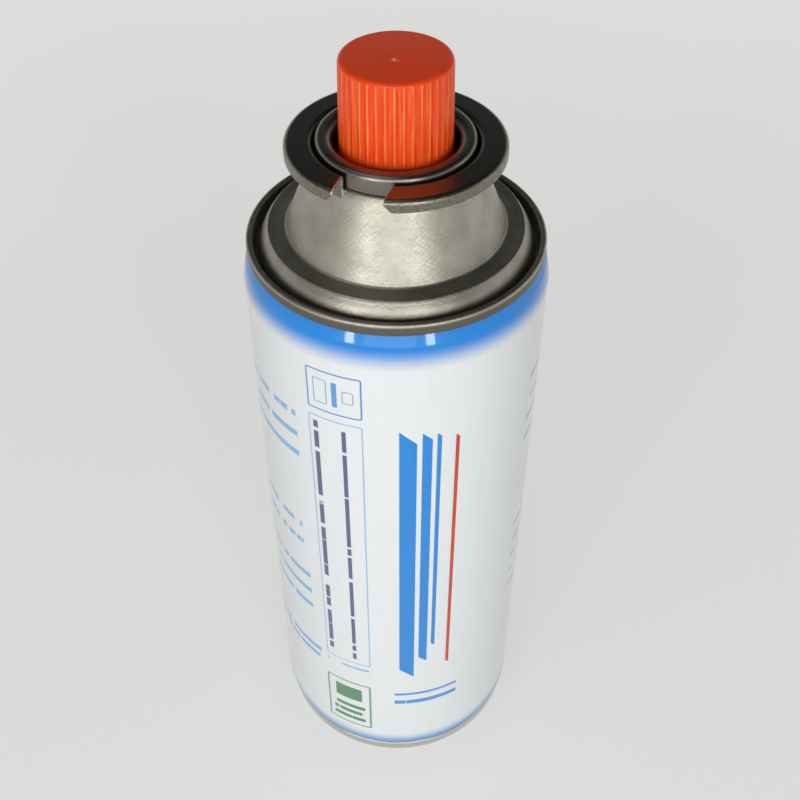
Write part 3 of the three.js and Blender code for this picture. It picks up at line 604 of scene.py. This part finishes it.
def domedEnd():
    # profile: seam outside and over its crown, down the countersink, bulge, flat step, cone with a
    # faint waist, and the curl at the mouth; inner face behind it
    t = topShape
    seam = filleted([(30.4, 157.1), (30.55, t["seamFoot"], 0.1), (t["seamOut"], t["seamFoot"], 0.45),
                     (t["seamOut"], t["seamTop"], t["crown"]), (t["seamIn"], t["seamTop"], t["crown"]),
                     (29.75, t["floor"], 0.42), (28.98, t["floor"], 0.34), (28.7, 157.2)], 8, 0.8)
    bulge = smoothLine([(28.68, 157.5), (28.32, 158.7), (27.68, 160.0), (26.95, 161.1)], 20)
    step = filleted([(26.75, 161.35), (26.55, 161.58, 0.2), (24.6, 161.5), (23.3, 161.56)], 5, 0.5)
    cone = smoothLine([(22.95, 161.66), (22.65, 161.95), (22.42, 162.5), (22.0, 163.5), (21.05, 166.0),
                       (19.85, 169.1), (19.2, 170.7), (18.4, 172.8), (17.55, 175.0), (16.9, 176.6),
                       (16.35, 177.6)], 60)
    mouth = filleted([(16.15, 177.75), (15.3, 177.8, 0.25), (15.3, 181.1, 0.8), (13.1, 181.1, 0.8),
                      (13.1, 178.2)], 6, 0.8)
    skin = np.concatenate([seam, bulge, step, cone])
    inside = skin[np.argmax((skin[:, 0] < 29.85) & (skin[:, 1] < 157.2)):]
    neck = filleted([(12.85, 178.2), (12.85, 180.5), (13.6, 180.8), (14.8, 180.8), (15.0, 180.2),
                     (15.0, 177.4)], 4, 0.8)
    profile = np.concatenate([skin, mouth, neck, sheetBehind(inside, t["sheet"]), [[30.2, 157.1]]])
    mesh = gridMesh("can_top", turnedRows(profile, t["sides"]))
    return addPiece(mesh, domeTinplate, vessel, "bare_tinplate", "can")


def seamedBase():
    # profile from the middle: domed panel, countersink, seam down to the resting plane and up outside
    b = baseShape
    panel = smoothLine([(0.0, b["rise"]), (9.0, 7.2), (17.0, 5.9), (24.2, 3.5), (27.6, 1.6), (29.0, 1.2)], 40)
    seam = filleted([(29.5, 1.3), (30.1, 2.1, 0.4), (b["seamIn"], 0.0, b["crown"]), (b["seamOut"], 0.0, b["crown"]),
                     (b["seamOut"], b["seamTop"], 0.35), (31.0, b["seamTop"] + 0.05)], 8, 0.8)
    under = np.concatenate([panel, seam])
    over = panel[::-1] + (0, b["sheet"])
    profile = np.concatenate([under, [[30.6, 3.25], [30.3, 2.6], [29.6, 1.75]], over])
    mesh = gridMesh("can_base", turnedRows(profile, b["sides"]), loop=False)
    return addPiece(mesh, baseTinplate, vessel, "bare_tinplate", "can")


vessel, stemBody, lid = "vessel", "stem", "lid"
printedWall()
domedEnd()
seamedBase()
print("can made")


# Valve cup

cupShape = {"outer": 15.95, "well": 12.45, "clinch": 0.5, "floor": 173.6, "pedestal": 5.3, "hole": 2.35,
            "sheet": 0.4, "edge": 1.1, "lip": 2.2, "sides": 160}


def valveCup():
    # profile: skirt, bead, well with its clinch, floor, pedestal and stem hole; inner face behind it
    c = cupShape
    bead, crown = height("valve_cup") - 2.5, height("valve_cup")
    face = filleted([(c["outer"], bead - 4.0), (c["outer"], bead, c["edge"]), (c["well"], bead, c["lip"]),
                     (c["well"], 177.5, 0.7), (c["well"] + c["clinch"], 176.3, 0.7), (c["well"], 175.1, 0.7),
                     (c["well"], c["floor"], 0.8), (c["pedestal"], c["floor"], 0.8),
                     (c["pedestal"], crown, 0.9), (c["hole"], crown)], 8, 0.7)
    profile = np.concatenate([face, sheetBehind(face, c["sheet"])])
    mesh = gridMesh("valve_cup_sheet", turnedRows(profile, c["sides"]))
    return addPiece(mesh, cupTinplate, vessel, "bare_tinplate", "valve_cup")


valveCup()
print("valve cup made")


# Collar

def notchedCollar():
    # channel section carried round the axis from one side of the notch to the other. The sides of the
    # notch are straight, so each point starts at the angle whose sine is half the width over its
    # radius; on the rim the width grows towards the foot. Near the ends the sheet thins, which
    # rounds the cut edges
    c = collarShape
    top = height("collar")
    outer = filleted([(c["inner"], height("collar", False) + 0.1), (c["inner"], top, c["bend"]),
                      (c["outer"], top, c["bend"]), (c["outer"], c["rimFoot"])], 8, 0.5)[::-1]
    inner = sheetBehind(outer, c["sheet"])
    section = np.concatenate([outer, inner])
    middle = np.concatenate([outer + inner[::-1], (outer + inner[::-1])[::-1]]) / 2
    r, z = section[:, 0], section[:, 1]
    onRim = np.clip((middle[:, 0] - c["rimFrom"]) / 0.7, 0, 1)
    drop = np.clip((top - c["bend"] - z) / (top - c["bend"] - c["rimFoot"]), 0, 1)
    start = np.arcsin((c["half"] + c["flare"] * onRim * drop) / middle[:, 0])
    near = np.array(c["ends"])[:, None] / r
    body = start + c["body"] / r
    share = np.linspace(0, 1, c["columns"])[:, None]
    angle = np.vstack([start + near, body + share * (2 * math.pi - 2 * body), (2 * math.pi - start - near)[::-1]])
    thin = np.ones((len(angle), 1))
    thin[:2, 0] = thin[:-3:-1, 0] = c["thin"]
    radius = middle[:, 0] + (r - middle[:, 0]) * thin
    rise = middle[:, 1] + (z - middle[:, 1]) * thin
    rows = np.stack([radius * np.sin(angle), -radius * np.cos(angle), rise], -1)
    count = len(outer)
    k = np.arange(count - 1)
    first = np.stack([k, k + 1, 2 * count - 2 - k, 2 * count - 1 - k], 1)
    last = first[:, ::-1] + (len(rows) - 1) * 2 * count
    mesh = gridMesh("collar_ring", rows, False, np.concatenate([first, last]))
    build = bmesh.new()
    build.from_mesh(mesh)
    bmesh.ops.recalc_face_normals(build, faces=build.faces)
    build.to_mesh(mesh)
    build.free()
    return addPiece(mesh, collarSteel, vessel, "collar_steel", "collar")


notchedCollar()
print("collar made")


# Cap

def flutedCap():
    # turned profile drawn in between ridges: depth x window x hollow, where the window fades at the
    # foot and under the top edge, and the hollow is a quarter sine from a ridge's flank to mid flute
    c = capShape
    foot, top = height("cap", False), height("cap")
    outside = filleted([(c["base"] - c["wall"], foot), (c["base"] - 0.15, foot, 0.1), (c["base"], foot + 0.4, 0.2),
                        (c["top"], top - 0.25, c["edge"]), (3.0, top - 0.02)], 10, 0.5)
    middle = np.stack([np.linspace(2.9, 0.0, 36), np.full(36, top)], 1)
    outside = np.concatenate([outside, middle])
    inside = filleted([(0.0, top - c["roof"]), (c["top"] - c["wall"], top - c["roof"], 0.8),
                       (c["base"] - c["wall"], foot + 0.6)], 6, 1.5)
    profile = np.concatenate([inside, outside])
    rows = turnedRows(profile, c["flutes"] * c["perFlute"])
    phase = np.arange(c["flutes"] * c["perFlute"]) / c["perFlute"] % 1.0
    fromRidge = np.minimum(phase, 1 - phase)
    share = np.clip((fromRidge - c["ridge"] / 2) / (0.5 - c["ridge"] / 2), 0, 1)
    hollow = np.sin(share * math.pi / 2) ** 1.3
    r, z = profile[:, 0], profile[:, 1]
    onSide = (np.arange(len(profile)) >= len(inside)) & (r > c["top"] - 0.75)
    low = np.clip((z - foot - c["start"]) / c["fade"], 0, 1)
    high = np.clip((top - 0.5 - z) / 0.8, 0, 1)
    window = np.sin(low * math.pi / 2) * high * high * (3 - 2 * high) * onSide
    drawn = 1 - np.outer(window, hollow) * c["depth"] / np.maximum(r, 1)[:, None]
    rows[..., :2] *= drawn[..., None]
    # gate mark: a shallow dimple with the stub of the gate standing in it
    away = np.hypot(rows[..., 0] - c["gate"][0], rows[..., 1] - c["gate"][1])
    onTop = rows[..., 2] > top - 0.3
    (rise, stub), (fall, dimple) = c["stub"], c["dimple"]
    rows[..., 2] += onTop * (rise * np.exp(-(away / stub) ** 4) - fall * np.exp(-(away / dimple) ** 4))
    mesh = gridMesh("cap_moulding", rows, loop=False)
    return addPiece(mesh, polyethylene, lid, "cap_plastic", "cap")


flutedCap()
print("cap made")


# Valve parts under the cap

springShape = {"mean": 2.9, "wire": 0.25, "turns": 6.0, "closed": 0.12, "steps": 420, "sides": 12}


def valveStem():
    # profile from the bottom of the boss, over the shoulder, up the tube and down its bore
    low, high = height("valve_stem", False), height("valve_stem")
    profile = filleted([(0.0, low), (2.0, low), (2.3, low + 0.4, 0.1), (2.3, 181.6), (3.5, 181.6, 0.1),
                        (3.5, 182.8, 0.1), (2.05, 182.8), (2.05, high - 0.4, 0.2), (1.75, high, 0.1),
                        (0.95, high, 0.15), (0.9, 182.75), (0.0, 182.75)], 4, 0.8)
    mesh = gridMesh("stem_tube", turnedRows(profile, 64), loop=False)
    return addPiece(mesh, acetal, stemBody, "valve_plastic", "valve_stem")


def returnSpring():
    # circle of the wire carried along a helix whose pitch closes up over the first and last turn;
    # the end rows shrink to points, which closes the tube
    s = springShape
    low, high = height("stem_spring", False) + s["wire"], height("stem_spring") - s["wire"]
    t = np.linspace(0, 1, s["steps"])
    eased = np.clip((t - s["closed"]) / (1 - 2 * s["closed"]), 0, 1)
    closing = 2 * s["wire"] / (high - low)
    rise = closing * np.clip(t / s["closed"], 0, 1) + (1 - 2 * closing) * eased
    rise += closing * np.clip((t - 1 + s["closed"]) / s["closed"], 0, 1)
    turn = 2 * math.pi * s["turns"] * t
    path = np.stack([s["mean"] * np.sin(turn), -s["mean"] * np.cos(turn), low + rise * (high - low)], 1)
    along = np.gradient(path, axis=0)
    along /= np.linalg.norm(along, axis=1)[:, None]
    outward = path * (1, 1, 0) / s["mean"]
    upward = np.cross(along, outward)
    around = np.linspace(0, 2 * math.pi, s["sides"], endpoint=False)[None, :, None]
    taper = np.clip((np.abs(2 * t - 1) - 0.997) / 0.003, 0, 1)
    wire = s["wire"] * np.sqrt(1 - taper ** 2)[:, None, None]
    rows = path[:, None] + wire * (np.cos(around) * outward[:, None] + np.sin(around) * upward[:, None])
    mesh = gridMesh("return_spring", rows[:, ::-1], loop=False)
    spring = addPiece(mesh, springWire, vessel, "spring_steel", "stem_spring")
    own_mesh(spring)
    return spring


valveStem()
returnSpring()
for node, material in (("cup_gasket", nitrile), ("stem_gasket", nitrile), ("valve_housing", acetal),
                       ("vapour_tube", acetal)):
    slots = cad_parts[node].data.materials
    slots.clear()
    slots.append(material)
print("valve parts made")


# Studio

studioLook = {"horizon": "#EFEFEE", "ceiling": "#1E2021", "ambient": 0.26, "floor": "#ECECEA", "glow": 0.6,
              "fadeFrom": 0.2, "fadeTo": 1.1, "reach": 6.0}


def softbox(name, azimuth, elevation, distance, size, power):
    # an area light aimed at the shoulder of the can; azimuth turns from the notch towards +X
    a, e = math.radians(azimuth), math.radians(elevation)
    target = Vector((0, 0, 0.11))
    place = target + distance * Vector((math.sin(a) * math.cos(e), -math.cos(a) * math.cos(e), math.sin(e)))
    light = bpy.data.lights.new(name, "AREA")
    light.shape = "RECTANGLE"
    light.size, light.size_y = size
    light.energy = power
    lamp = bpy.data.objects.new(name, light)
    lamp.location = place
    lamp.rotation_euler = (target - place).to_track_quat("-Z", "Y").to_euler()
    lamp.visible_camera = False
    bpy.context.scene.collection.objects.link(lamp)


# a wide window in front: two bright sides, a thin line along its top and foot and a dim pane; then a
# dim fill above and one at the right
softbox("windowLeft", -12, 12, 1.25, (0.13, 0.62), 3.6)
softbox("windowRight", 42, 12, 1.25, (0.13, 0.62), 3.3)
softbox("windowTop", 15, 28, 1.15, (0.95, 0.06), 1.5)
softbox("windowFoot", 15, -3, 1.1, (0.95, 0.03), 0.4)
softbox("windowPane", 15, 14, 1.3, (0.8, 0.6), 2.4)
softbox("topLight", -40, 66, 1.1, (0.8, 0.8), 1.2)
softbox("rimLight", 112, 22, 1.2, (0.4, 0.6), 0.5)


def studioWorld():
    # pale at the horizon, dim from 25 degrees up, so that level metal mirrors a dim ceiling
    s = studioLook
    world = bpy.data.worlds.new("studio")
    bpy.context.scene.world = world
    world.use_nodes = True
    tree = world.node_tree
    tree.nodes.clear()
    output = addNode(tree, "ShaderNodeOutputWorld")
    where = addNode(tree, "ShaderNodeTexCoord")
    parts = addNode(tree, "ShaderNodeSeparateXYZ", {}, {0: where.outputs["Generated"]})
    rise = ramp(tree, parts.outputs["Z"], 0.12, 0.42)
    sky = addNode(tree, "ShaderNodeMix", {"data_type": "RGBA", "A": linear(s["horizon"]), "B": linear(s["ceiling"])},
                  {"Factor": rise.outputs[0]})
    seen = addNode(tree, "ShaderNodeBackground", {"Strength": 1.0}, {"Color": sky.outputs["Result"]})
    ambient = addNode(tree, "ShaderNodeBackground", {"Color": linear("#FFFFFF"), "Strength": s["ambient"]})
    path = addNode(tree, "ShaderNodeLightPath")
    glossy = addNode(tree, "ShaderNodeMath", {"operation": "MAXIMUM"},
                     {0: path.outputs["Is Camera Ray"], 1: path.outputs["Is Glossy Ray"]})
    clear = addNode(tree, "ShaderNodeMath", {"operation": "MAXIMUM"},
                    {0: glossy.outputs[0], 1: path.outputs["Is Transmission Ray"]})
    mixed = addNode(tree, "ShaderNodeMixShader", {},
                    {0: clear.outputs[0], 1: ambient.outputs[0], 2: seen.outputs[0]})
    tree.links.new(mixed.outputs[0], output.inputs["Surface"])


def paleFloor():
    # matt floor; near the can, part of what is seen of it is the light and shadow on it, and from
    # fadeFrom to fadeTo metres out it turns into the pale of the horizon, so that no edge shows
    s = studioLook
    reach = s["reach"]
    mesh = bpy.data.meshes.new("floor")
    corners = [(-reach, -reach, 0), (reach, -reach, 0), (reach, reach, 0), (-reach, reach, 0)]
    mesh.from_pydata(corners, [], [(0, 1, 2, 3)])
    floor = bpy.data.objects.new("floor", mesh)
    bpy.context.scene.collection.objects.link(floor)
    material = bpy.data.materials.new("paleFloor")
    material.use_nodes = True
    tree = material.node_tree
    tree.nodes.clear()
    output = addNode(tree, "ShaderNodeOutputMaterial")
    lit = addNode(tree, "ShaderNodeBsdfDiffuse", {"Color": linear(s["floor"])})
    pale = addNode(tree, "ShaderNodeEmission", {"Color": linear(s["horizon"]), "Strength": 1.0})
    where = addNode(tree, "ShaderNodeTexCoord")
    out = addNode(tree, "ShaderNodeVectorMath", {"operation": "LENGTH"}, {0: where.outputs["Object"]})
    glow = addNode(tree, "ShaderNodeMapRange",
                   {"From Min": s["fadeFrom"], "From Max": s["fadeTo"], "To Min": s["glow"]},
                   {"Value": out.outputs["Value"]})
    path = addNode(tree, "ShaderNodeLightPath")
    glossy = addNode(tree, "ShaderNodeMath", {"operation": "MAXIMUM"},
                     {0: path.outputs["Is Camera Ray"], 1: path.outputs["Is Glossy Ray"]})
    clear = addNode(tree, "ShaderNodeMath", {"operation": "MAXIMUM"},
                    {0: glossy.outputs[0], 1: path.outputs["Is Transmission Ray"]})
    share = addNode(tree, "ShaderNodeMath", {"operation": "MULTIPLY"}, {0: clear.outputs[0], 1: glow.outputs[0]})
    mixed = addNode(tree, "ShaderNodeMixShader", {}, {0: share.outputs[0], 1: lit.outputs[0], 2: pale.outputs[0]})
    tree.links.new(mixed.outputs[0], output.inputs["Surface"])
    mesh.materials.append(material)


studioWorld()
paleFloor()
bpy.context.scene.view_settings.view_transform = "Standard"
print("studio made")
